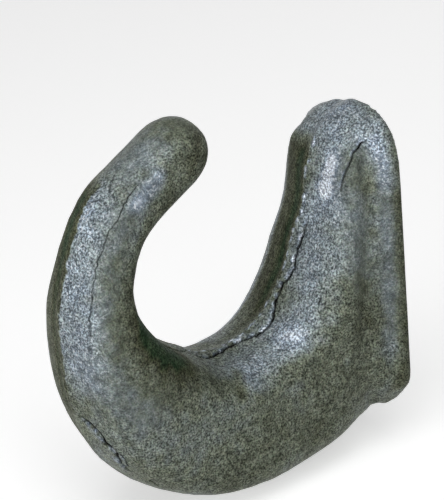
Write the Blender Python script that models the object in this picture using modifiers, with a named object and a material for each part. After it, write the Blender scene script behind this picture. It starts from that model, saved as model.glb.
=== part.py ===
"""Recovery tow hook: one drop forging, a hook whose back ends in a flat pad that is welded to a vehicle.

The dies met in the plane y = 0, so the hook is two equal halves. One half is lofted from rings that run
from the parting line on the inside of the hook to the parting line on its outside, and the Mirror modifier
makes the other. The weld face is the plane x = 0, the hook reaches towards -X and its mouth opens to +Z.
"""

import math

import bmesh
import bpy
import numpy as np

MM = 0.001

# Weld pad. Its face is centred on the origin.
PAD_WIDTH = 26.0
PAD_HEIGHT = 57.2
PAD_RIM = 2.3  # thickness of the pad at its edge
PAD_CORNER = 9.0  # radius of the two lower corners
PAD_ARCH = 12.0  # height of the arched top
PAD_EDGE = 0.55  # rounding of the pad's edges
PAD_FLARE = 1.6  # how far the neck of the post flares into the pad
FOOT_FLARE = 5.0  # the same at the pad's lower edge
FOOT_LAP = 2.5  # how much of the bar runs on past the pad's lower edge

# Outline in the parting plane
MOUTH = 22.0  # between the tip and the post
REACH = 63.4  # weld face to the outside of the arm
TOP = 36.6  # tip above the middle of the pad
BASE = 34.6  # lowest point below the middle of the pad
TIP_DEPTH = 12.6
TIP_DOME = 7.4  # length of the rounded end
TIP_LEAN = 57.0  # degrees that the tip leans from upright towards the post
ARM_DEPTH = 12.4
BODY_DEPTH = 26.0  # below the floor of the throat
POST_ROOT = 17.0  # the post's nose before the weld face, low down
POST_TOP = 11.4  # the same where the domed top begins

# Thickness across the parting plane
TIP_THICK = 12.2
ARM_THICK = 20.2
BODY_THICK = 23.4
POST_THICK = 24.6
POST_TOP_THICK = 22.0
POST_NECK = 0.13  # share by which the post narrows between its nose and the pad

SQUARE = 3.2  # exponent of the rounded sections: 2 is an ellipse, and a higher one is squarer
ROUND = 2.2  # the same at the tip
DOME = 2.8  # the same for the arched top of the pad
CROWN = 1.85  # the same for the post before it
DRAFT = 0.16  # taper of the forged faces from the parting line, which leaves a ridge there

# Rings and points
TIP_RINGS = 8
RINGS_A_SPAN = 5
CORNER_RINGS = 9
POST_RINGS = 16
TOP_RINGS = 9
CORNER_POINTS = 8
SIDE_POINTS = 8

pad_foot = -PAD_HEIGHT / 2
pad_top = PAD_HEIGHT / 2
arch_foot = pad_top - PAD_ARCH


def clear_scene():
    for old in list(bpy.data.objects):
        bpy.data.objects.remove(old, do_unlink=True)


def through(stations, per_span):
    """Points on a smooth curve that passes through every station (Catmull-Rom), whatever they hold."""
    s = np.array(stations, float)
    ends = np.vstack([2 * s[0] - s[1], s, 2 * s[-1] - s[-2]])
    made = []
    for i in range(1, len(ends) - 2):
        before, start, stop, after = ends[i - 1 : i + 3]
        for t in np.arange(per_span) / per_span:
            made.append(
                start
                + 0.5 * t * (stop - before)
                + t * t * (before - 2.5 * start + 2 * stop - 0.5 * after)
                + t**3 * (1.5 * (start - stop) + 0.5 * (after - before))
            )
    return np.array(made + [s[-1]])


def rounded(angle, power):
    """Cosine and sine of a superellipse, so that a quarter turn gives a rounded corner."""
    return abs(math.cos(angle)) ** (2 / power), abs(math.sin(angle)) ** (2 / power)


def at_throat(across, up):
    """A place in the throat: across from the arm's wall to the post, and up from the floor."""
    far, floor = -(REACH - ARM_DEPTH), BODY_DEPTH - BASE
    wall = 0.3 * TOP
    return far + across * (-POST_ROOT - far), floor + up * (wall - floor)


def at_outside(across, up):
    """A place in the outline: across from the arm's outside to the weld face, and up from the base."""
    return -REACH + across * REACH, -BASE + up * (TOP + BASE)


root = at_throat(1.0, 0.52)  # where the throat's wall turns up into the post


def post_depth(z):
    """How far the nose of the post stands before the weld face, below the domed top."""
    share = np.clip((z - root[1]) / (arch_foot - root[1]), 0, 1)
    return POST_ROOT + (POST_TOP - POST_ROOT) * (1 - (1 - share) ** 1.3)


def pad_half_width(z):
    """Half the width of the pad at a height: rounded corners below, a rounded arch above."""
    half = PAD_WIDTH / 2
    if z > arch_foot:
        return half * max(0.0, 1 - ((z - arch_foot) / PAD_ARCH) ** DOME) ** (1 / DOME)
    drop = max(0.0, pad_foot + PAD_CORNER - z)
    return half - PAD_CORNER + math.sqrt(max(0.0, PAD_CORNER**2 - drop**2))


def corner_length(depth, thick):
    """How much of a section's depth its rounded corner takes, without the draft."""
    return min(0.47 * depth, 0.39 * thick) - DRAFT * thick / 2


def nose_profile(depth, thick, square, ease=1.0):
    """Depth and half thickness, from the parting line round the corner to the side of the section."""
    corner = corner_length(depth, thick) * ease
    profile = []
    for angle in np.linspace(0, math.pi / 2, CORNER_POINTS):
        c, s = rounded(angle, square)
        profile.append((corner * (1 - c) + DRAFT * thick / 2 * s, thick / 2 * s))
    return profile


def bar_ring(inner, outer, thick, square, ease=1.0):
    """Half a section of the free bar, from its inner parting point to its outer one.

    Ease makes the outer corner that many times as long, and rounder.
    """
    inner, outer = np.array(inner), np.array(outer)
    depth = np.linalg.norm(outer - inner)
    along = (outer - inner) / depth
    nose = nose_profile(depth, thick, square)
    tail = nose_profile(depth, thick, square + (ROUND - SQUARE) * (ease - 1), ease)
    sides = np.linspace(nose[-1][0], depth - tail[-1][0], SIDE_POINTS + 2)[1:-1]
    points = nose + [(p, thick / 2) for p in sides] + [(depth - p, h) for p, h in reversed(tail)]
    return [(*(inner + along * p), h) for p, h in points]


def pad_ring(inner, level, thick, half, behind, folded=False):
    """Half a section that ends on the weld face, at this level of the pad.

    Half is the pad's half width there, and behind says how much of the bar lies beyond the pad's front. A
    folded ring keeps to the pad's front edge: with the next ring it makes the pad's lower edge.
    """
    inner = np.array(inner)
    rim = min(PAD_RIM, 0.4 * -inner[0])
    seat = np.array((-rim, level))
    depth = np.linalg.norm(seat - inner)
    along = (seat - inner) / depth
    whole = depth + min(behind, 0.5 * depth)
    tail = 2 * corner_length(whole, thick)
    points = nose_profile(whole, thick, SQUARE)
    start = points[-1][0]

    def bar_height(p):
        narrowed = POST_NECK * min(1.0, behind / 10) * max(0.0, (p - start) / (depth - start)) ** 1.5
        left = min(1.0, max(0.0, depth + behind - p) / tail)
        return thick / 2 * (1 - narrowed) * (1 - (1 - left) ** ROUND) ** (1 / ROUND)

    edge = min(PAD_EDGE, half / 2, rim / 3)
    flare = half - 0.4 * edge - bar_height(depth)
    near_foot = max(0.0, 1 - (level - pad_foot) / PAD_CORNER)
    reach = (PAD_FLARE + (FOOT_FLARE - PAD_FLARE) * near_foot) * min(1.0, -inner[0] / (3 * PAD_RIM))
    for share in np.linspace(0, 1, SIDE_POINTS + 1)[1:] ** 0.75:
        p = start + (depth - start) * share
        gap = (depth - p) * max(along[0], 0.5)
        points.append((p, bar_height(p) + flare * math.exp(-gap / reach)))
    ring = [(*(inner + along * p), h) for p, h in points]
    if folded:
        return ring + [(-rim, level, h) for h in np.linspace(0.98 * half, 0, CORNER_POINTS)]
    ring += [(-0.75 * rim, level, half), (-edge, level, half)]
    return ring + [(0.0, level, h) for h in np.linspace(half - edge, 0, CORNER_POINTS - 2)]


def tip_place():
    """Centre of the section where the tip's dome begins, and the direction in which the dome points."""
    lean = math.radians(TIP_LEAN)
    half = TIP_DEPTH / 2
    level = TOP - math.hypot(half * math.sin(lean), TIP_DOME * math.cos(lean))
    ahead = math.hypot(half * math.cos(lean), TIP_DOME * math.sin(lean))
    post = post_depth(level - half) * pad_half_width(level - half) * 2 / PAD_WIDTH
    return np.array((-post - MOUTH - ahead, level)), np.array((math.sin(lean), math.cos(lean)))


def rings():
    centre, ahead = tip_place()
    side = np.array((ahead[1], -ahead[0]))
    half = TIP_DEPTH / 2
    made = []
    for angle in np.linspace(math.pi / 2 - 0.06, 0, TIP_RINGS + 1)[:-1]:
        c, s = rounded(angle, ROUND)
        middle = centre + ahead * TIP_DOME * s
        made.append(bar_ring(middle + side * half * c, middle - side * half * c, TIP_THICK * c, ROUND))

    low = at_throat(0.90, 0.29)
    shape = [
        (*(centre + side * half), *(centre - side * half), TIP_THICK, ROUND, 1),
        (*at_throat(0.165, 1.42), *at_outside(0.119, 0.862), TIP_THICK + 1, ROUND, 1),
        (*at_throat(0.03, 1.17), *at_outside(0.016, 0.655), 0.5 * (TIP_THICK + ARM_THICK), SQUARE, 1),
        (*at_throat(0.0, 0.98), *at_outside(0.0, 0.510), ARM_THICK, SQUARE, 1),
        (*at_throat(0.047, 0.72), *at_outside(0.013, 0.356), 0.5 * (ARM_THICK + BODY_THICK), SQUARE, 1),
        (*at_throat(0.198, 0.36), *at_outside(0.080, 0.200), BODY_THICK - 0.6, SQUARE, 1),
        (*at_throat(0.405, 0.06), *at_outside(0.243, 0.064), BODY_THICK, SQUARE, 1),
        (*at_throat(0.61, 0.0), *at_outside(0.47, 0.0), BODY_THICK, SQUARE, 1),
        (*at_throat(0.79, 0.12), *at_outside(0.765, 0.018), BODY_THICK, SQUARE, 1.4),
        (*low, -PAD_RIM, pad_foot, POST_THICK, SQUARE, 2),
    ]
    for x1, z1, x2, z2, thick, square, ease in through(shape, RINGS_A_SPAN)[:-1]:
        made.append(bar_ring((x1, z1), (x2, z2), thick, square, ease))

    corner = pad_foot + PAD_CORNER * (1 - np.cos(np.linspace(0, math.pi / 2, CORNER_RINGS)))
    wall = np.linspace(corner[-1], arch_foot, POST_RINGS + 1)[1:]
    levels = [*corner, *wall]
    for i, level in enumerate(levels):
        nose_z = low[1] + (arch_foot - low[1]) * i / (len(levels) - 1)
        nose_x = -post_depth(nose_z)
        if nose_z < root[1]:
            nose_x = low[0] + (root[0] - low[0]) * (nose_z - low[1]) / (root[1] - low[1])
        behind = FOOT_LAP + 1.2 * (level - pad_foot)
        share = max(0.0, (nose_z - root[1]) / (arch_foot - root[1]))
        thick = POST_THICK + (POST_TOP_THICK - POST_THICK) * share**2
        if i == 0:
            made.append(pad_ring((nose_x, nose_z), level, thick, pad_half_width(level), behind, True))
        made.append(pad_ring((nose_x, nose_z), level, thick, pad_half_width(level), behind))
    for angle in np.linspace(0, math.pi / 2 - 0.05, TOP_RINGS + 1)[1:]:
        c, s = rounded(angle, DOME)
        level = arch_foot + PAD_ARCH * s
        crown = (1 - s**CROWN) ** (1 / CROWN)
        nose, thick = (-POST_TOP * crown, level), POST_TOP_THICK * crown
        made.append(pad_ring(nose, level, thick, PAD_WIDTH / 2 * c, PAD_HEIGHT))
    return made


def loft(name, half_rings):
    """A half hook, open at the plane y = 0, from rings with equal numbers of points."""
    count = len(half_rings[0])
    points = [(x * MM, max(h, 0.0) * MM, z * MM) for ring in half_rings for x, z, h in ring]
    faces = [tuple(range(count))]
    for start in range(0, len(points) - count, count):
        for i in range(start, start + count - 1):
            faces.append((i, i + count, i + count + 1, i + 1))
    faces.append(tuple(range(len(points) - 1, len(points) - count - 1, -1)))
    mesh = bpy.data.meshes.new(name)
    mesh.from_pydata(points, [], faces)
    # Where two rings share their points, one is enough.
    shape = bmesh.new()
    shape.from_mesh(mesh)
    bmesh.ops.remove_doubles(shape, verts=shape.verts, dist=0.001 * MM)
    shape.to_mesh(mesh)
    shape.free()
    return mesh


def mirrored(name, mesh, collection):
    """The whole hook: the half and its mirror image, joined along the parting line."""
    obj = bpy.data.objects.new(name, mesh)
    collection.objects.link(obj)
    mirror = obj.modifiers.new("other die half", "MIRROR")
    mirror.use_axis = (False, True, False)
    mirror.use_clip = True
    mirror.merge_threshold = 0.00001
    return obj


def forged_steel():
    material = bpy.data.materials.new("forged steel")
    material.use_nodes = True
    shader = material.node_tree.nodes["Principled BSDF"]
    shader.inputs["Base Color"].default_value = (0.12, 0.13, 0.12, 1)
    shader.inputs["Metallic"].default_value = 0.8
    shader.inputs["Roughness"].default_value = 0.5
    return material


clear_scene()
collection = bpy.data.collections.new("recovery tow hook")
bpy.context.scene.collection.children.link(collection)
hook = mirrored("tow_hook", loft("tow_hook", rings()), collection)
hook.data.materials.append(forged_steel())
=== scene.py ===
# %% [markdown]
# # A recovery tow hook, as it left the forge
# The hook is one drop forging: a hot steel bar, bent to a hook and pressed between two dies. The flat pad at
# its back is welded to a vehicle's frame. The CAD frame holds its shape, and this file gives it the skin of
# a real one. A picture wrapped round it would fit one view only, so the skin is worked out in three
# dimensions: the seam where the dies met, the laps and cracks beside it, the blasted grain and the colours
# of the scale.

# %% Load the frame
import math

import bmesh
import bpy
import numpy as np
from mathutils import Matrix, Vector
from mathutils.bvhtree import BVHTree


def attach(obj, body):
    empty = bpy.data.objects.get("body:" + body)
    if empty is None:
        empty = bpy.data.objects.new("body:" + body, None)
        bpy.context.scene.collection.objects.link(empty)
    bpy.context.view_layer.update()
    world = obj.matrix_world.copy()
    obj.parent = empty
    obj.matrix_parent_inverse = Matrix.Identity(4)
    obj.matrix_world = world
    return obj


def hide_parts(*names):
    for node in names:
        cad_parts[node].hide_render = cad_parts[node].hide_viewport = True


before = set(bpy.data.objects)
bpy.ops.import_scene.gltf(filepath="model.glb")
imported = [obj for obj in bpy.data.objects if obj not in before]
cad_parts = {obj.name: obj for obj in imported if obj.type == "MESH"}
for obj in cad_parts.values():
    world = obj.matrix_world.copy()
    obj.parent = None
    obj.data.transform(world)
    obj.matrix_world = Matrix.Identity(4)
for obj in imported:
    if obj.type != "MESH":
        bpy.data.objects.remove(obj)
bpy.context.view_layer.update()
MM = 0.001

# %% [markdown]
# ## The camera
# The hook is seen from the side, a little from its arm and from above, through a long lens that hardly bends
# it. A camera can be placed by hand, but it is surer to work it out: the view is a direction, a roll and a
# distance from the point that it aims at. The three axes of the camera are then the columns of its matrix.

# %% Place the camera
IMAGE_WIDTH, IMAGE_HEIGHT = 444, 500
SENSOR = 36.0
FOCAL_PIXELS = 2250.0
VIEW_TURN, VIEW_DOWN, VIEW_ROLL = (math.radians(a) for a in (33.0, 24.7, 5.16))
AIM = Vector((-30.0, 0.0, 9.92)) * MM
DISTANCE = 387.5 * MM

level_look = Vector((math.sin(VIEW_TURN), math.cos(VIEW_TURN), 0))
level_right = Vector((math.cos(VIEW_TURN), -math.sin(VIEW_TURN), 0))
look = math.cos(VIEW_DOWN) * level_look - math.sin(VIEW_DOWN) * Vector((0, 0, 1))
level_up = level_right.cross(look)
right = math.cos(VIEW_ROLL) * level_right - math.sin(VIEW_ROLL) * level_up
up = math.sin(VIEW_ROLL) * level_right + math.cos(VIEW_ROLL) * level_up
eye = AIM - look * DISTANCE

camera = bpy.data.objects.new("camera", bpy.data.cameras.new("camera"))
bpy.context.scene.collection.objects.link(camera)
camera.matrix_world = Matrix.Translation(eye) @ Matrix((right, up, -look)).transposed().to_4x4()
camera.data.sensor_width = SENSOR
camera.data.lens = SENSOR * FOCAL_PIXELS / IMAGE_HEIGHT
camera.data.clip_start = 0.01
bpy.context.scene.camera = camera
print("lens", round(camera.data.lens), "mm, eye at", [round(v / MM) for v in eye], "mm")


# %% A line of sight
def sight_line(pixel_x, pixel_y):
    """Direction from the eye through a pixel of the picture."""
    across = (pixel_x - IMAGE_WIDTH / 2) / FOCAL_PIXELS
    down = (pixel_y - IMAGE_HEIGHT / 2) / FOCAL_PIXELS
    return (look + right * across - up * down).normalized()


# %% [markdown]
# ## An even skin
# The CAD solid has long facets, too coarse for dents of a tenth of a millimetre. A subdivision surface would
# follow those facets, so a copy is remeshed with voxels, which gives it small faces of equal size all over.
# The first cell holds the tools for that: one makes a modifier's result the mesh itself, two read a mesh
# into rows of numbers, one writes it back, and one moves each point towards its neighbours.

# %% Tools for a mesh
def applied(thing):
    """Replaces a piece's mesh by what its modifiers make of it."""
    graph = bpy.context.evaluated_depsgraph_get()
    made = bpy.data.meshes.new_from_object(thing.evaluated_get(graph))
    thing.modifiers.clear()
    thing.data = made
    return thing


def places(mesh):
    """Every vertex of a mesh, as rows of x, y and z."""
    flat = np.empty(len(mesh.vertices) * 3)
    mesh.vertices.foreach_get("co", flat)
    return flat.reshape(-1, 3)


def normals(mesh):
    """The way that the skin faces at every vertex."""
    flat = np.empty(len(mesh.vertices) * 3)
    mesh.vertex_normals.foreach_get("vector", flat)
    return flat.reshape(-1, 3)


def moved_to(mesh, points):
    mesh.vertices.foreach_set("co", points.ravel())
    mesh.update()


def evened(points, edges, share):
    """Moves each point by a share of the way to the middle of its neighbours."""
    a, b = edges[:, 0], edges[:, 1]
    ends = np.concatenate([a, b])
    total = np.stack([np.bincount(ends, np.concatenate([points[b, i], points[a, i]])) for i in range(3)], 1)
    return points + share[:, None] * (total / np.bincount(ends)[:, None] - points)


# %% Remesh a copy of the CAD hook
VOXEL = 0.47 * MM

hook = bpy.data.objects.new("hook_forging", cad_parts["tow_hook"].data.copy())
bpy.context.scene.collection.objects.link(hook)
remesh = hook.modifiers.new("even skin", "REMESH")
remesh.mode = "VOXEL"
remesh.voxel_size = VOXEL
remesh.use_smooth_shade = True
applied(hook)
print("remeshed to", len(hook.data.vertices), "points")

# %% [markdown]
# Rounds of smoothing take the facets out. Plain smoothing shrinks a mesh, so each round is followed by one
# that swells it again, and the thin edge of the weld pad is smoothed least. A real forging has no sharp
# inner corner, as steel doesn't flow round one. So the folds above the pad's foot and beside its arch get
# many more rounds, which fill them softly.

# %% Smooth the facets and fill the folds
SMOOTH_ROUNDS = 24
SMOOTHED, SWOLLEN = 0.55, -0.57
PAD_EDGE, PAD_EDGE_FADE, PAD_EDGE_LEAST = 0.4 * MM, 3.0 * MM, 0.1
FOLDS = ((-9.5, 10.5, -20.0), (-5.5, 5.5, 25.0))
FOLD_REACH, FOLD_ROUNDS, FOLD_SHARE = 6.0 * MM, 90, 0.5
FOLD_PEAK = 1.4  # over 1, so that the middle of a fold is smoothed in full

skin = places(hook.data)
edges = np.array([e.vertices[:] for e in hook.data.edges])
ease = np.clip((-skin[:, 0] - PAD_EDGE) / PAD_EDGE_FADE, PAD_EDGE_LEAST, 1)
for _ in range(SMOOTH_ROUNDS):
    skin = evened(skin, edges, SMOOTHED * ease)
    skin = evened(skin, edges, SWOLLEN * ease)


def both_sides(points):
    """The points as if all were on the far side, so that a value made there is the same on both sides."""
    return points * (1, 0, 1) + np.abs(points * (0, 1, 0))


far_skin = both_sides(skin)
to_fold = np.min([np.linalg.norm(far_skin - np.array(fold) * MM, axis=1) for fold in FOLDS], axis=0)
soft = np.clip(FOLD_PEAK - FOLD_PEAK * to_fold / FOLD_REACH, 0, 1)
for _ in range(FOLD_ROUNDS):
    skin = evened(skin, edges, FOLD_SHARE * soft)
moved_to(hook.data, skin)
print("smoothed", len(skin), "points,", int((soft > 0).sum()), "of them by a fold")

# %% [markdown]
# ## Waves of the dies
# Steel that was hammered into a worn die is never quite smooth. A noise texture could dent it, but the skin
# is moved here as rows of numbers, so a sum of sine waves in random directions does it. It gives soft dents
# of any length, and a fixed seed makes them the same each time.

# %% Random waves
TURN = 2 * math.pi
WAVE_SPREAD = (0.7, 1.4)


def waves(points, length, seed, count=48):
    """A random field with dents about this long, with a mean of 0 and a deviation of 1."""
    dice = np.random.default_rng(seed)
    way = dice.normal(size=(count, 3))
    way *= (TURN / length * dice.uniform(*WAVE_SPREAD, count) / np.linalg.norm(way, axis=1))[:, None]
    return np.sin(points @ way.T + dice.uniform(0, TURN, count)).sum(1) * math.sqrt(2 / count)


print("deviation of a field of waves:", round(float(waves(skin, 13 * MM, 1).std()), 2))

# %% [markdown]
# ## Cracks, laps and marks
# Where folded steel was pressed flat, a lap is left: a thin dark line with one lip standing over the other.
# Each is a line drawn on the surface. Its points are given as they show in the picture, and the line of
# sight through each one is followed until it meets the skin, so the mark sits on the steel from every side.

# %% Lines drawn in the picture
LINES = {
    "throat crack": [
        (309, 212), (308, 219), (305, 226), (303, 234), (301, 241), (298, 250), (295, 260), (294, 269),
        (290, 276), (284, 283), (280, 291), (275, 301), (273, 311), (273, 318), (270, 324), (264, 330),
        (256, 335), (247, 339), (238, 343), (230, 347), (222, 352), (214, 356), (204, 358), (197, 356),
        (191, 353),
    ],
    "rim line": [(190, 353.5), (186, 352), (180, 350.5), (174, 348), (168, 345.5), (161, 341)],
    "post lap": [
        (368, 146), (365, 147), (361, 149), (357, 154), (353, 160), (349, 169), (346, 174), (343, 180),
        (341, 188), (341, 197),
    ],
    "arm lap": [
        (149, 173), (144, 178), (139, 184), (134, 190), (129, 197), (124, 206), (121, 213), (117, 221),
        (110, 230), (106, 238), (104, 246), (102, 254), (98, 260), (96, 272), (94, 284), (92, 296),
        (91, 308), (90, 320), (90, 332), (91, 347), (92, 358), (94, 368),
    ],
    "deep lap": [
        (78, 412), (82, 418), (90, 424), (96, 429), (102, 436), (105, 442), (111, 447), (116, 453),
        (119, 459), (123, 465), (127, 469), (131, 472),
    ],
    "flake": [(117, 453), (121, 455), (125, 460), (128, 467)],
    "side line": [(324, 286), (322, 293), (320, 300), (318, 307)],
    "short line": [(320, 327), (319, 331), (318, 336)],
    "flange line": [(367, 262), (368, 285), (369, 305), (370, 325), (370, 344), (368, 363)],
    "low nick": [(149, 480), (154, 483), (159, 486)],
    "belly line": [(228, 442), (228, 450), (228, 457), (231, 464), (234, 468), (237, 473)],
    "low ridge": [(206, 486), (213, 484), (221, 482), (228, 480), (235, 478)],
}
print(len(LINES), "lines")

# %% [markdown]
# A BVH tree finds where a ray meets a mesh, and it is quick because it looks only at the faces near the ray.
# The steps between the points that it finds are then made small and even. Torn steel doesn't run as straight
# as that, so every line is jogged sideways by a few hundredths of a millimetre.

# %% Put the lines on the skin
LINE_SPACING = 0.25 * MM
JAG, JAG_LENGTH, JAG_SEED = 0.07 * MM, 1.4 * MM, 20
body = BVHTree.FromObject(hook, bpy.context.evaluated_depsgraph_get())


def on_skin(pixels, spacing=LINE_SPACING):
    """Points on the skin, close together, along a line that is drawn in the picture."""
    found = [body.ray_cast(eye, sight_line(*pixel))[0] for pixel in pixels]
    line = np.array([tuple(p) for p in found if p is not None])
    along = np.concatenate([[0], np.cumsum(np.linalg.norm(np.diff(line, axis=0), axis=1))])
    steps = np.linspace(0, along[-1], max(4, int(along[-1] / spacing)))
    return np.stack([np.interp(steps, along, line[:, i]) for i in range(3)], 1)


drawn = {name: on_skin(pixels) for name, pixels in LINES.items()}
for name, line in drawn.items():
    for axis in range(3):
        line[:, axis] += JAG * waves(line, JAG_LENGTH, JAG_SEED + axis)
    print(name, round(float(np.linalg.norm(np.diff(line, axis=0), axis=1).sum()) / MM, 1), "mm")

# %% [markdown]
# A crack is thinner than the faces of the even skin. A finer remesh would need millions of faces, so only
# the faces beside each line are divided, twice over, and those under the seam of the dies once.

# %% Finer faces along the lines
NEAR_LINE = (1.1 * MM, 0.5 * MM)
NEAR_SEAM = (0.9 * MM, 0)
BESIDE_PAD = -1 * MM
AT_A_TIME = 4000


def nearest(points, line, reach):
    """Distance of each point to a line of close points, and which of those is nearest, within a reach."""
    low, high = line.min(0) - reach, line.max(0) + reach
    close = np.flatnonzero(((points > low) & (points < high)).all(1))
    away = np.full(len(points), np.inf)
    number = np.zeros(len(points), int)
    for start in range(0, len(close), AT_A_TIME):
        some = close[start : start + AT_A_TIME]
        gaps = np.linalg.norm(points[some, None] - line[None], axis=2)
        number[some] = gaps.argmin(1)
        away[some] = gaps.min(1)
    return away, number


for reach, beside_seam in zip(NEAR_LINE, NEAR_SEAM):
    skin = places(hook.data)
    near = (np.abs(skin[:, 1]) < beside_seam) & (skin[:, 0] < BESIDE_PAD)
    for line in drawn.values():
        near |= nearest(skin, line, reach)[0] < reach
    shape = bmesh.new()
    shape.from_mesh(hook.data)
    shape.verts.ensure_lookup_table()
    chosen = [e for e in shape.edges if near[e.verts[0].index] and near[e.verts[1].index]]
    bmesh.ops.subdivide_edges(shape, edges=chosen, cuts=1, use_grid_fill=True)
    bmesh.ops.triangulate(shape, faces=[f for f in shape.faces if len(f.verts) > 4])
    shape.to_mesh(hook.data)
    shape.free()
    print("with finer lines:", len(hook.data.vertices), "points")

skin = places(hook.data)
far_skin = both_sides(skin)
out = normals(hook.data)

# %% [markdown]
# Marks, swellings and colours all have to fade out softly, or their borders would show as lines. Two small
# functions do that: one steps gently from 0 to 1 between two values, and one makes a round swelling.

# %% Soft borders
def smooth_step(values, low, high):
    share = np.clip((values - low) / (high - low), 0, 1)
    return share * share * (3 - 2 * share)


def swelling(away, reach):
    """1 in the middle of a round swelling, and 0 at its reach and beyond."""
    return np.cos(np.clip(away / reach, 0, 1) * math.pi / 2) ** 2


def away_from(points, place):
    """Distance of each point to a place that is given in mm."""
    return np.linalg.norm(points - np.array(place) * MM, axis=1)


print("half way, a step gives", round(float(smooth_step(0.5, 0, 1)), 2))

# %% [markdown]
# ## Where the dies met
# The flash that was squeezed out between the dies is trimmed off, and a low ridge stays round the hook. It
# is raised in the skin as a tent with two slopes. A swept strip would sit on the steel, and this one has to
# grow out of it. The die halves were a little out of line, so the ridge wanders, and inside the throat it
# leans away from the crack, where the steel folded over.

# %% Line of the seam
CRACK_REACH, DEEP_LAP_REACH = 5 * MM, 7 * MM
FULL_NEAR_LINE, LINE_END_FADE = 2.5, 6
CRACK_SHIFT, OUTER_SHIFT, INNER_SHIFT = 0.9 * MM, 0.7 * MM, 0.2 * MM
SEAM_WANDER = (
    # how far it wanders, over what length, both in mm, and the seed of the waves
    (0.12, 11.0, 4),
    (0.07, 2.3, 5),
    (0.06, 0.9, 7),
)
HOOK_MIDDLE_X, HOOK_MIDDLE_Z = -36 * MM, 10 * MM


def by_line(points, name, reach):
    """1 beside a line and 0 at the reach, and eased off at the line's two ends."""
    line = drawn[name]
    away, number = nearest(points, line, reach)
    share = number / (len(line) - 1)
    ends = np.clip(np.minimum(share, 1 - share) * LINE_END_FADE, 0, 1)
    close = np.where(np.isfinite(away), np.clip(1 - away / reach, 0, 1), 0)
    return np.clip(close * ends * FULL_NEAR_LINE, 0, 1)


by_crack = by_line(skin, "throat crack", CRACK_REACH)
by_deep_lap = by_line(skin, "deep lap", DEEP_LAP_REACH)
outer = out[:, 0] * (skin[:, 0] - HOOK_MIDDLE_X) + out[:, 2] * (skin[:, 2] - HOOK_MIDDLE_Z) > 0
seam = CRACK_SHIFT * by_crack - np.where(outer, OUTER_SHIFT, INNER_SHIFT)
for far, length, seed in SEAM_WANDER:
    seam += far * MM * waves(skin, length * MM, seed)
off_seam = skin[:, 1] - seam
print("the seam wanders from", round(seam.min() / MM, 2), "to", round(seam.max() / MM, 2), "mm")

# %% [markdown]
# The ridge fades out at the weld face and at the top, where the trimmer cut it flush. On the outside it is
# worn down under the belly, and on the arm's side of the throat it is lower than by the crack.

# %% Height of the seam
SEAM_HEIGHT, SEAM_NEAR, SEAM_FAR = 0.50 * MM, 2.6 * MM, 3.2 * MM
STEEPER_BY_CRACK, SEAM_UNEVEN = 1.8 * MM, 0.12
PAD_FADE = 1.5 * MM
POST_AND_ARM_X = -30 * MM
TOP_OF_POST_SEAM, TOP_OF_ARM_SEAM, TOP_FADE = 27 * MM, 33 * MM, 5 * MM
WORN_BELOW, WORN_FADE, WORN_LEAST = -15 * MM, 11 * MM, 0.15
LOW_AT_THROAT, THROAT_FADE, THROAT_LEAST = -43 * MM, 8 * MM, 0.1

off_pad = np.clip(-skin[:, 0] / PAD_FADE, 0, 1)
faces_out = 1 - np.abs(out[:, 1])
slope = np.where(off_seam < 0, -off_seam / SEAM_NEAR, off_seam / (SEAM_FAR - STEEPER_BY_CRACK * by_crack))
uneven = 1 + SEAM_UNEVEN * waves(skin, 2.2 * MM, 6)
tent = SEAM_HEIGHT * uneven * np.clip(1 - slope, 0, 1) * faces_out * off_pad * (1 - by_deep_lap)
seam_top = np.where(skin[:, 0] > POST_AND_ARM_X, TOP_OF_POST_SEAM, TOP_OF_ARM_SEAM)
tent *= np.clip((seam_top - skin[:, 2]) / TOP_FADE, 0, 1)
worn = WORN_LEAST + (1 - WORN_LEAST) * np.clip((skin[:, 2] - WORN_BELOW) / WORN_FADE, 0, 1)
low_throat = np.clip((skin[:, 0] - LOW_AT_THROAT) / THROAT_FADE, THROAT_LEAST, 1)
tent *= np.where(outer, worn, low_throat)
print("ridge up to", round(tent.max() / MM, 2), "mm high")

# %% [markdown]
# ## Fuller and leaner places
# A forging differs from its drawing by a millimetre or so where the dies are worn. The near shoulder of the
# post's top is fuller, the far one leaner, and a scrap of flash makes a bump beside the highest point. The
# throat's bottom is dished, and the pad's foot is cut back at its corners. Sculpting by hand would do the
# same, but here each is a place, a reach and a rise, so that it can be read and changed.

# %% Shoulders, throat and foot
NEAR_RISE, FAR_FALL = 1.1 * MM, 0.8 * MM
NEAR_SIDE, FAR_SIDE = (-3 * MM, 1 * MM), (3 * MM, 7 * MM)
TOP_FROM_Z, TOP_FROM_X = (14 * MM, 25 * MM), (-13 * MM, -6 * MM)
FAR_CHEEK = ((-6.0, 7.0, 23.0), (-5.4, 6.3, 25.2), (-4.6, 5.6, 27.0))
CHEEK_REACH, CHEEK_RISE = 5.0 * MM, 1.2 * MM
THROAT_FORM = (
    # a place in mm, how far it reaches and how far it lifts the skin, both in mm
    ((-47.5, 0.0, 0.5), 9.0, -0.6),
    ((-31.5, 8.0, -10.7), 7.0, 0.3),
    ((-40.3, 0.2, -5.2), 3.0, 0.25),
    ((-43.8, -0.2, -2.5), 3.2, -0.35),
)
PAD_FOOT = (
    # a place in mm, how far it reaches and how far it moves the skin up, both in mm, on both sides
    ((-5.2, 7.5, -25.6), 4.8, -1.3),
    ((-1.5, 11.0, -25.5), 6.0, 1.2),
    ((-5.1, 7.0, -25.3), 1.8, -0.5),
    ((-6.8, 7.7, -26.5), 1.8, 0.5),
)

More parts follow.
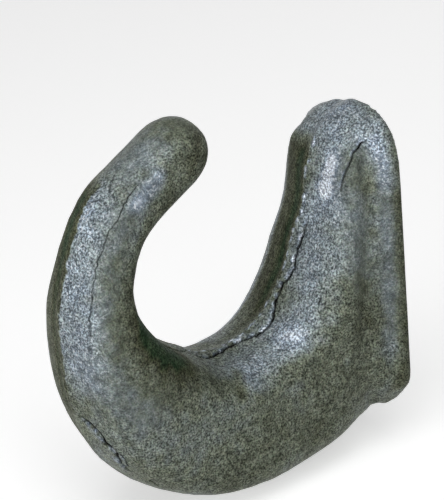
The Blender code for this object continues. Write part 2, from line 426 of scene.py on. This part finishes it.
near_share = smooth_step(-skin[:, 1], *NEAR_SIDE)
far_share = smooth_step(skin[:, 1], *FAR_SIDE)
at_top = smooth_step(skin[:, 2], *TOP_FROM_Z) * smooth_step(skin[:, 0], *TOP_FROM_X)
raised = (NEAR_RISE * near_share - FAR_FALL * far_share) * at_top
for place, reach, rise in PAD_FOOT:
    raised += rise * MM * swelling(away_from(far_skin, place), reach * MM)
to_cheek = np.min([away_from(skin, place) for place in FAR_CHEEK], axis=0)
cheek = CHEEK_RISE * swelling(to_cheek, CHEEK_REACH)
in_throat = np.zeros(len(skin))
for place, reach, rise in THROAT_FORM:
    in_throat += rise * MM * swelling(away_from(skin, place), reach * MM)
print("raised by", round(raised.min() / MM, 2), "to", round(raised.max() / MM, 2), "mm")

# %% [markdown]
# Beside the weld pad the post sinks into a shallow valley before the pad's flange rises, on both sides. It
# is one long hollow with a gentler slope towards the pad.

# %% Valley beside the pad
VALLEY_DEPTH, VALLEY_LEFT, VALLEY_RIGHT = 0.8 * MM, 3.0 * MM, 3.6 * MM
VALLEY_X, VALLEY_LEAN, VALLEY_MIDDLE_Z = -7.6 * MM, 0.119, 5 * MM
VALLEY_FOOT, FOOT_FADE, VALLEY_HEAD, HEAD_FADE = -20 * MM, 8 * MM, 27 * MM, 6 * MM
FACES_ASIDE, LEAST_ASIDE = 1.6, 0.4

from_valley = skin[:, 0] - VALLEY_X - VALLEY_LEAN * (skin[:, 2] - VALLEY_MIDDLE_Z)
spread = np.where(from_valley < 0, -from_valley / VALLEY_LEFT, from_valley / VALLEY_RIGHT)
valley = VALLEY_DEPTH * swelling(spread, 1)
valley *= np.clip((skin[:, 2] - VALLEY_FOOT) / FOOT_FADE, 0, 1)
valley *= np.clip((VALLEY_HEAD - skin[:, 2]) / HEAD_FADE, 0, 1)
valley *= np.clip(np.abs(out[:, 1]) * FACES_ASIDE - LEAST_ASIDE, 0, 1)
print("valley up to", round(valley.max() / MM, 2), "mm deep")

# %% [markdown]
# ## Press the relief into the skin
# A lap is a step: the gap is narrow and deep, one lip stands over it and runs out softly, and the other side
# stays where it was. Bump alone wouldn't change the outline or throw a shadow, so every point is moved along
# the way that the skin faces. How dark each gap is, is kept with the mesh for the material.

# %% Waves and low forms
DIE_WAVES = ((0.035, 13.0, 1), (0.022, 5.0, 2), (0.012, 2.0, 3))
relief = sum(high * MM * waves(skin, length * MM, seed) for high, length, seed in DIE_WAVES) * off_pad
relief += tent - valley + cheek + in_throat
print("relief without marks in mm:", round(relief.min() / MM, 2), "to", round(relief.max() / MM, 2))

# %% Laps, cracks and marks
LAPS = {
    # how wide and deep the gap is, how high the raised lip stands and how far it runs out, all in mm, and
    # how dark the gap is
    "throat crack": (0.20, 0.60, 0.16, 0.8, 1.2),
    "rim line": (0.13, 0.15, 0.05, 0.8, 0.9),
    "post lap": (0.13, 0.32, 0.20, 2.6, 1.1),
    "arm lap": (0.09, 0.12, 0.20, 3.0, 0.8),
    "deep lap": (0.26, 0.70, 0.26, 1.3, 1.3),
    "flake": (0.11, 0.30, 0.14, 0.5, 0.9),
    "side line": (0.14, 0.15, 0.06, 1.0, 1.1),
    "short line": (0.12, 0.10, 0.03, 0.8, 0.7),
    "flange line": (0.16, 0.08, 0.02, 0.8, 0.4),
    "low nick": (0.18, 0.30, 0.10, 0.8, 0.9),
    "belly line": (0.13, 0.14, 0.05, 1.2, 0.8),
    "low ridge": (0.10, 0.06, 0.08, 0.8, 0.3),
}
LIPS_BARED = {
    # how wide the rubbed edge of the lip is in mm, and how much of its scale is gone
    "throat crack": (0.7, 0.48),
    "deep lap": (1.3, 0.45),
    "post lap": (0.6, 0.3),
    "flake": (0.5, 0.3),
}
NOT_BARED = (0.5, 0)
OVERRUN = 0.5 * MM
RUNS_REACHED = 3
MARK_END_FADE = 8

depth_of_marks = np.zeros(len(skin))
bared_lips = np.zeros(len(skin))
for name, line in drawn.items():
    width, depth, lip, run = (v * MM for v in LAPS[name][:4])
    darkness = LAPS[name][4] * (0.8 + 0.2 * waves(line, 3 * MM, 30))
    away, number = nearest(skin, line, RUNS_REACHED * run)
    here = np.isfinite(away) & (away < RUNS_REACHED * run)
    forward = np.gradient(line, axis=0)[number[here]]
    side = np.cross(forward, out[here])
    side /= np.linalg.norm(side, axis=1)[:, None]
    across = ((skin[here] - line[number[here]]) * side).sum(1)
    along = number[here] / (len(line) - 1)
    fade = np.clip(np.minimum(along, 1 - along) * MARK_END_FADE, 0, 1)
    past_end = np.sqrt(np.maximum(away[here] ** 2 - across**2, 0))
    fade *= np.exp(-((past_end / OVERRUN) ** 2))
    gap = np.exp(-((across / width) ** 2)) * fade
    lifted = lip * np.exp(-np.abs(across) / run) * (across > 0) * fade
    relief[here] += lifted - depth * gap
    depth_of_marks[here] = np.maximum(depth_of_marks[here], np.clip(gap * darkness[number[here]], 0, 1))
    reach, share = LIPS_BARED.get(name, NOT_BARED)
    lip_only = np.exp(-((across / (reach * MM)) ** 2)) * (across > 0.5 * width) * fade
    patches = np.clip(0.6 + 0.5 * waves(skin[here], 1.6 * MM, 31), 0, 1)
    bared_lips[here] = np.maximum(bared_lips[here], share * lip_only * patches)

moved_to(hook.data, skin + out * relief[:, None] + raised[:, None] * np.array((0, 0, 1)))
hook.data.attributes.new("mark", "FLOAT", "POINT").data.foreach_set("value", depth_of_marks)
triangles = sum(len(face.vertices) - 2 for face in hook.data.polygons)
print("relief in mm:", round(relief.min() / MM, 2), "to", round(relief.max() / MM, 2))
print(triangles, "triangles")

# %% [markdown]
# ## How the scale lies, with painted highlight and painted shade
# Hot steel grows a skin of black iron oxide, the scale, and blasting took most of it off. The zones here
# also paint light and shade into it. Where the lamps' highlights fall, on the arm, the dome, the post's
# streaks and the pad's flange, scale is taken off to show light bare steel: a painted highlight. Where shade
# falls, in the throat, along the arm's inner edge and the tip's far edge, on the pad's rim and the lower
# side, the scale is made
# thicker and darker: a painted shade. Each zone is a line with a reach, drawn like the marks. The value at
# every point, from 0 for bare steel to 1 for thick scale, is kept with the mesh. Both sides of the hook get
# the zones.

# %% Zones of scale, painted highlight and painted shade
SCALE_LEFT = 0.55
ZONE_CORE = 0.9
PAINTED_LIGHT_ZONES = {
    # a line through each zone in the picture, how far it reaches in mm and how much more scale it gives:
    # more paints shade, less paints a highlight
    "arm": ([(82, 215), (79, 240), (77, 265), (76, 290), (76, 320), (77, 350), (82, 375)], 7.4, -0.29),
    "arm's upper side": ([(140, 150), (120, 168), (103, 190)], 7.0, -0.10),
    "post's streak": ([(333, 150), (330, 168), (325, 190)], 5.0, -0.20),
    "post's root": ([(322, 215), (318, 240), (314, 262), (310, 285), (303, 308), (292, 332)], 7.0, -0.29),
    "below the throat": ([(292, 340), (270, 360), (248, 378)], 4.5, -0.19),
    "under the crack": ([(262, 340), (235, 357), (212, 370)], 5.0, -0.03),
    "dark streak below": ([(238, 374), (240, 385), (242, 394)], 2.0, 0.22),
    "below the crack": ([(198, 372), (215, 381), (232, 387)], 4.0, 0.08),
    "arm's second streak": ([(158, 178), (148, 192), (138, 205)], 2.6, -0.35),
    "post's bright streak": ([(332, 162), (328, 175), (325, 188)], 2.6, -0.30),
    "arm's inner edge": ([(172, 200), (152, 226), (137, 258), (132, 290)], 3.2, 0.18),
    "tip's far edge": ([(199, 120), (202, 140), (199, 160)], 6.0, 0.20),
    "dome": ([(330, 125), (348, 122), (366, 130)], 7.0, -0.27),
    "post's side": ([(352, 205), (351, 232), (347, 262)], 4.5, -0.15),
    "left of the belly": ([(100, 350), (112, 390), (140, 405)], 8.0, -0.06),
    "flange's upper end": ([(376, 148), (384, 166), (388, 186)], 2.6, -0.22),
    "pad's flange": ([(381, 160), (386, 200), (389, 240), (390, 280), (391, 320), (392, 350)], 3.0, -0.15),
    "pad's foot": ([(352, 372), (372, 374), (390, 366)], 5.0, 0.06),
    "throat": ([(137, 300), (144, 328), (158, 350), (174, 363)], 10.0, 0.32),
    "throat's bottom": ([(148, 333), (162, 345), (176, 352)], 6.0, 0.3),
    "valley": ([(360, 215), (361, 245), (362, 275), (363, 305), (362, 350)], 4.0, 0.02),
    "lower side": ([(350, 350), (330, 400), (290, 440), (240, 470)], 13.0, 0.11),
    "pad's rim": ([(401, 200), (403, 240), (404, 280), (406, 320), (408, 360), (400, 388)], 3.0, 0.26),
    "throat's far side": ([(218, 340), (232, 330), (248, 318)], 5.0, -0.08),
}


def in_zone(pixels, reach):
    """1 on the line and 0 beyond the reach, on both sides of the hook."""
    line = both_sides(on_skin(pixels, 0.5 * MM))
    away = nearest(far_skin, line, reach * MM)[0]
    return smooth_step(1 - np.minimum(away / (reach * MM), 1), 0, ZONE_CORE)


scale_and_painted_light = SCALE_LEFT + 0.04 * waves(skin, 12 * MM, 11) + 0.03 * waves(skin, 3 * MM, 12)
# Each zone adds scale as painted shade, or takes it off as a painted highlight.
for pixels, reach, more in PAINTED_LIGHT_ZONES.values():
    scale_and_painted_light += more * in_zone(pixels, reach)
print("scale by zones:", round(float(scale_and_painted_light.min()), 2), "to", round(float(scale_and_painted_light.max()), 2))

# %% [markdown]
# On the far side of the seam a band of thick, dark green scale is painted: painted shade, where that half of
# the section turns away from the lamps. It has a ragged edge at the seam, ends before the weld pad, and is
# thinner low in the throat. The ridge's own crest is rubbed bright, and so are the lips of the laps.

# %% Painted shade beside the seam
BAND_START, BAND_END = (-0.05 * MM, 0.35 * MM), (7 * MM, 10 * MM)
RAGGED, RAGGED_BY_CRACK, START_BY_CRACK = 0.06 * MM, 0.1 * MM, -0.45 * MM
OFF_THE_PAD = (2 * MM, 4 * MM)
BAND_COVER, BAND_DARKER, BAND_DARKEST, BAND_SPREAD = 0.84, 0.16, 2.6 * MM, 1.5 * MM
OUTER_LEAST, INNER_LEAST = 0.92, 0.25
OUTER_THINS, INNER_THINS = (10 * MM, 21 * MM), (-15 * MM, -2 * MM)
THIN_BY_DEEP_LAP, BAND_TOP_FADE = 0.8, 6 * MM
CREST_AT, CREST_WIDTH, CREST_FULL = -0.2 * MM, 0.25 * MM, 0.3 * MM
CREST_BARED, OUTER_CREST = 0.5, 0.15

ragged = (RAGGED + RAGGED_BY_CRACK * by_crack) * waves(skin, 1.6 * MM, 14) + START_BY_CRACK * by_crack
painted_shade_band = smooth_step(off_seam - ragged, *BAND_START) * (1 - smooth_step(off_seam, *BAND_END))
painted_shade_band *= smooth_step(-skin[:, 0], *OFF_THE_PAD)
painted_shade_band *= BAND_COVER + BAND_DARKER * np.exp(-(((off_seam - BAND_DARKEST) / BAND_SPREAD) ** 2))
thin_out = np.where(outer, smooth_step(skin[:, 2], *OUTER_THINS), smooth_step(skin[:, 2], *INNER_THINS))
least = np.where(outer, OUTER_LEAST, INNER_LEAST)
painted_shade_band *= (1 - THIN_BY_DEEP_LAP * by_deep_lap) * (least + (1 - least) * thin_out)
painted_shade_band *= 1 - smooth_step(skin[:, 2], seam_top - BAND_TOP_FADE, seam_top)
# The band is painted shade, laid in as the darkest scale.
scale_and_painted_light = np.maximum(scale_and_painted_light, painted_shade_band)
crest = np.exp(-(((off_seam - CREST_AT) / CREST_WIDTH) ** 2)) * np.clip(tent / CREST_FULL, 0, 1)
crest *= np.where(outer, OUTER_CREST, 1)
scale_and_painted_light -= CREST_BARED * crest * np.clip(0.4 + 0.8 * waves(skin, 1.5 * MM, 13), 0, 1)
scale_and_painted_light = np.clip(scale_and_painted_light - bared_lips, 0, 1)
# This value holds the scale together with the painted highlight and shade of the zones and the band.
hook.data.attributes.new("scale_and_painted_light", "FLOAT", "POINT").data.foreach_set("value", scale_and_painted_light)
print("scale covers", round(float(scale_and_painted_light.mean()), 2))

# %% [markdown]
# The grit hit some sides squarely and left a coarse, speckled grain there. On others it glanced off, and the
# face is nearly even. These patches get a value of their own.

# %% Even patches
EVEN = (
    # a line through each patch in the picture, and its reach in mm
    ([(150, 183), (134, 204), (122, 225), (114, 250), (110, 280), (108, 310), (110, 340), (114, 365)], 4.5),
    ([(178, 120), (150, 140), (128, 165)], 6.0),
    ([(358, 160), (356, 190), (364, 230), (366, 290)], 4.0),
    ([(345, 172), (349, 200), (358, 240), (362, 280)], 5.0),
    ([(100, 380), (120, 400), (145, 410)], 8.0),
    ([(382, 170), (387, 220), (390, 270), (392, 330)], 3.5),
)
even = np.max([in_zone(pixels, reach) for pixels, reach in EVEN], axis=0)
hook.data.attributes.new("even", "FLOAT", "POINT").data.foreach_set("value", even)
print("even patches take", round(float(even.mean()), 2), "of the skin")

# %% [markdown]
# ## Forged steel, blasted
# The real finish is forged carbon steel, blasted with grit: matt, with a sparkle where a facet of bare metal
# catches the lamps, and duller and greener where scale is left. One function adds a node, sets it and links
# it, and returns the output that is wanted. Colours are written as sRGB hex values, and a second one turns
# them to the linear values that a shader takes.

# %% Tools for a material
def linear(hex_colour):
    """An sRGB hex colour as the linear values that a shader takes."""
    channels = [int(hex_colour[i : i + 2], 16) / 255 for i in (1, 3, 5)]
    return (*(c / 12.92 if c <= 0.04045 else ((c + 0.055) / 1.055) ** 2.4 for c in channels), 1.0)


def node(tree, kind, output, inputs=None, **settings):
    """Adds a node with its settings. Its inputs take a value, a hex colour or another node's output."""
    made = tree.nodes.new(kind)
    for name, value in settings.items():
        setattr(made, name, value)
    for name, value in (inputs or {}).items():
        if isinstance(value, bpy.types.NodeSocket):
            tree.links.new(value, made.inputs[name])
        else:
            made.inputs[name].default_value = linear(value) if isinstance(value, str) else value
    return made.outputs[output]


steel = bpy.data.materials.new("forged steel, blasted")
steel.use_nodes = True
tree = steel.node_tree
shader = tree.nodes["Principled BSDF"]
print("material:", steel.name)

# %% [markdown]
# Grit of about 0.3 mm leaves dents of its own size, so that is the grain's scale. The mottle is the
# patchwork of scale that came off in flakes of about 1.3 mm. Noise with some detail gives both. Cells of
# 0.27 mm give each facet a shade of its own, and the sparks, painted glints of bare metal, are 0.5 mm apart.
# All of it is laid out in the hook's own space, as the remeshed skin has no flat layout, and a grain needs
# none.

# %% Patterns in real sizes
PATTERNS = {
    # the size in mm and how much finer detail it has
    "grain": (0.34, 4.0),
    "mottle": (1.3, 3.0),
    "sparkle": (0.5, 3.0),
}
CELL = 0.27 * MM

place = node(tree, "ShaderNodeTexCoord", "Object")
value = {}
for name, (size, detail) in PATTERNS.items():
    inputs = {"Vector": place, "Scale": 1 / (size * MM), "Detail": detail}
    value[name] = node(tree, "ShaderNodeTexNoise", "Fac", inputs)
for name in ("scale_and_painted_light", "mark", "even"):
    value[name] = node(tree, "ShaderNodeAttribute", "Fac", attribute_name=name)
cells = node(tree, "ShaderNodeTexVoronoi", "Color", {"Vector": place, "Scale": 1 / CELL})
print("patterns:", ", ".join(value))

# %% [markdown]
# Each pattern is then spread to the share or the strength that is needed. A table says what goes in, between
# which two values it counts, and what it gives at each, so a look is tuned by changing one line.

# %% What each value gives
RANGES = {
    # The coats of bare steel and scale below also carry painted highlight and painted shade, and the sparks
    # and the bright tail of bare steel's grain are painted glints.
    "rubbed and painted highlight": ("scale_and_painted_light", 0.0, 0.14, 0.0, 1.0),
    "thin scale": ("scale_and_painted_light", 0.14, 0.6, 0.0, 1.0),
    "thick scale": ("scale_and_painted_light", 0.6, 0.88, 0.0, 1.0),
    "thickest scale": ("scale_and_painted_light", 0.85, 1.0, 0.0, 1.0),
    "earthy tint": ("mottle", 0.35, 0.7, 0.0, 0.2),
    "patchwork": ("mottle", 0.35, 0.65, 0.72, 1.35),
    "covered": ("scale_and_painted_light", 0.15, 0.5, 0.0, 1.0),
    "grain and painted glints of steel": ("grain", 0.44, 0.68, 0.55, 2.6),
    "grain of scale": ("grain", 0.36, 0.64, 0.3, 2.2),
    "grain's strength": ("even", 0.0, 1.0, 1.0, 0.35),
    "facets' strength": ("scale_and_painted_light", 0.15, 0.5, 0.25, 0.5),
    "painted_glints": ("sparkle", 0.55, 0.68, 0.0, 0.65),
    "where glints are painted": ("scale_and_painted_light", 0.1, 0.55, 1.0, 0.0),
    "metal": ("scale_and_painted_light", 0.2, 0.9, 0.75, 0.0),
    "roughness of grain": ("grain", 0.35, 0.65, 0.46, 0.28),
    "roughness of scale": ("scale_and_painted_light", 0.3, 1.0, 0.0, 0.22),
}
ENDS = ("From Min", "From Max", "To Min", "To Max")

given = {}
for name, (source, *ends) in RANGES.items():
    inputs = {"Value": value[source], **dict(zip(ENDS, ends))}
    given[name] = node(tree, "ShaderNodeMapRange", "Result", inputs)
print(len(given), "ranges")

# %% [markdown]
# The colour is laid on like coats of paint: bare blue-grey steel first, lightest where the zones paint a
# highlight, then the rubbed steel, which is also part painted highlight, the thin scale, which is a greyish
# green, the thick scale and the darkest green, which also carry the painted shade, the patchwork, the grain,
# whose bright tail on bare steel paints glints, the sparks, which are painted glints, and last the dark of
# the gaps. Each coat is a Mix node over the one before. Where it multiplies, it darkens or brightens what is
# there and keeps its tint.

# %% Coats of colour
shades = {"Factor": given["covered"], "A": given["grain and painted glints of steel"], "B": given["grain of scale"]}
shades = node(tree, "ShaderNodeMix", "Result", shades, data_type="RGBA")
facets = node(tree, "ShaderNodeHueSaturation", "Color", {"Color": cells, "Saturation": 0.15})
# The sparks are painted glints: near-white specks on bare steel, in place of facets that catch the lamps.
painted_glints = {0: given["painted_glints"], 1: given["where glints are painted"]}
painted_glints = node(tree, "ShaderNodeMath", "Value", painted_glints, operation="MULTIPLY")
COATS = (
    # how much of it, the colour, and the way that it goes over what is there
    (given["rubbed and painted highlight"], "#727d89", "MIX"),
    (given["thin scale"], "#5f6559", "MIX"),
    (given["thick scale"], "#3d3f2e", "MIX"),
    (given["thickest scale"], "#1b2f1b", "MIX"),
    (given["earthy tint"], "#5c5f50", "MIX"),
    (1.0, given["patchwork"], "MULTIPLY"),
    (given["grain's strength"], shades, "MULTIPLY"),
    (given["facets' strength"], facets, "MULTIPLY"),
    (painted_glints, "#dde2e6", "MIX"),
    (value["mark"], "#0c0c0a", "MIX"),
)
# Bare steel, light blue-grey: where the zones take all of the scale off, this paints the lamps' highlight.
colour = "#bac1cb"
for share, coat, way in COATS:
    inputs = {"Factor": share, "A": colour, "B": coat}
    colour = node(tree, "ShaderNodeMix", "Result", inputs, data_type="RGBA", blend_type=way)
print(len(COATS), "coats over bare steel")

# %% [markdown]
# Bare steel is a metal and its scale is not, so the metallic value falls as the scale gets thicker, and the
# roughness rises. A metal keeps the default IOR. The grit's dents are too many for the mesh, so bump gives
# them, with a depth of 0.08 mm for the mottle and 0.22 mm for the grain. Both are deeper than real, to show
# at this distance.

# %% Gloss and bump
MOTTLE_DEPTH, GRAIN_DEPTH = 0.08 * MM, 0.22 * MM
SPECULAR_LEVEL = 0.05

rough = {0: given["roughness of grain"], 1: given["roughness of scale"]}
rough = node(tree, "ShaderNodeMath", "Value", rough, operation="ADD")
bump = {"Height": value["mottle"], "Strength": 1.0, "Distance": MOTTLE_DEPTH}
bump = {"Height": value["grain"], "Strength": 1.0, "Distance": GRAIN_DEPTH,
        "Normal": node(tree, "ShaderNodeBump", "Normal", bump)}
bump = node(tree, "ShaderNodeBump", "Normal", bump)
shader.inputs["Specular IOR Level"].default_value = SPECULAR_LEVEL
for name, source in (
    ("Base Color", colour), ("Metallic", given["metal"]), ("Roughness", rough), ("Normal", bump),
):
    tree.links.new(source, shader.inputs[name])

hook.data.materials.clear()
hook.data.materials.append(steel)
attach(hook, "root")
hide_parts("tow_hook")
print(len(tree.nodes), "nodes in", steel.name)

# %% [markdown]
# ## Floor
# The hook stands on its foot on matt white board. The board is lit like the hook, so it keeps the hook's
# shadow, and it would be grey in plain light. A small glow lifts it to white for the camera and in the
# steel's reflections, and gives the hook no light of its own.

# %% A pale floor
FLOOR_RADIUS, FLOOR_CORNERS = 1.5, 96
FLOOR_GLOW, BOARD_ROUGHNESS = 0.5, 0.9


def seen_directly(tree):
    """1 for a ray from the camera, off polished metal or through glass, and 0 for the light on the hook."""
    kinds = ("Is Camera Ray", "Is Glossy Ray", "Is Transmission Ray")
    camera_ray, glossy_ray, clear_ray = (node(tree, "ShaderNodeLightPath", kind) for kind in kinds)
    first = node(tree, "ShaderNodeMath", "Value", {0: camera_ray, 1: glossy_ray}, operation="MAXIMUM")
    return node(tree, "ShaderNodeMath", "Value", {0: first, 1: clear_ray}, operation="MAXIMUM")


board = bpy.data.materials.new("matt white board")
board.use_nodes = True
seen = seen_directly(board.node_tree)
glow = node(board.node_tree, "ShaderNodeMath", "Value", {0: seen, 1: FLOOR_GLOW}, operation="MULTIPLY")
board_shader = board.node_tree.nodes["Principled BSDF"]
board_shader.inputs["Base Color"].default_value = linear("#f2f2f2")
board_shader.inputs["Roughness"].default_value = BOARD_ROUGHNESS
board_shader.inputs["Emission Color"].default_value = linear("#ffffff")
board.node_tree.links.new(glow, board_shader.inputs["Emission Strength"])

disc = bpy.data.meshes.new("floor")
shape = bmesh.new()
bmesh.ops.create_circle(shape, cap_ends=True, segments=FLOOR_CORNERS, radius=FLOOR_RADIUS)
shape.to_mesh(disc)
shape.free()
floor = bpy.data.objects.new("floor", disc)
floor.location = (0, 0, places(hook.data)[:, 2].min())
bpy.context.scene.collection.objects.link(floor)
floor.data.materials.append(board)
print("floor at", round(floor.location.z / MM, 1), "mm")

# %% [markdown]
# ## Light
# Soft boxes light the hook as a studio does. The strongest stands on the left and low, where the arm's edge
# is brightest, a wide one hangs above, and two weak ones lift the shadows. Each is placed by the way to it
# from the point that the camera aims at, and turned to face it.

# %% Soft boxes
LAMPS = {
    # the way to the lamp, its width in m and its watts
    "left": ((-0.93, -0.33, 0.06), 0.30, 1.6),
    "top": ((-0.25, -0.32, 0.91), 0.40, 1.15),
    "right": ((0.94, 0.13, 0.33), 0.25, 0.15),
    "front": ((-0.11, -0.85, 0.52), 0.25, 0.3),
}
LAMP_DISTANCE = 0.5

for name, (way, size, watts) in LAMPS.items():
    lamp = bpy.data.objects.new(name, bpy.data.lights.new(name, "AREA"))
    lamp.data.size = size
    lamp.data.energy = watts
    lamp.location = AIM + Vector(way).normalized() * LAMP_DISTANCE
    lamp.rotation_euler = (AIM - lamp.location).to_track_quat("-Z", "Y").to_euler()
    bpy.context.scene.collection.objects.link(lamp)
    print(name, "lamp,", watts, "W")

# %% [markdown]
# The room is white where the camera or a reflection sees it, and lights the hook only dimly, so the lamps
# set the shading. The Standard view shows a colour about as it is written.

# %% White room
ROOM_LIGHT, ROOM_WHITE = 0.12, 1.0

world = bpy.data.worlds.new("white room")
world.use_nodes = True
seen = seen_directly(world.node_tree)
inputs = {"Value": seen, "To Min": ROOM_LIGHT, "To Max": ROOM_WHITE}
white = node(world.node_tree, "ShaderNodeMapRange", "Result", inputs)
background = world.node_tree.nodes["Background"]
background.inputs["Color"].default_value = linear("#ffffff")
world.node_tree.links.new(white, background.inputs["Strength"])
bpy.context.scene.world = world
bpy.context.scene.view_settings.view_transform = "Standard"
print("room light", ROOM_LIGHT, "on the hook and", ROOM_WHITE, "to the camera")
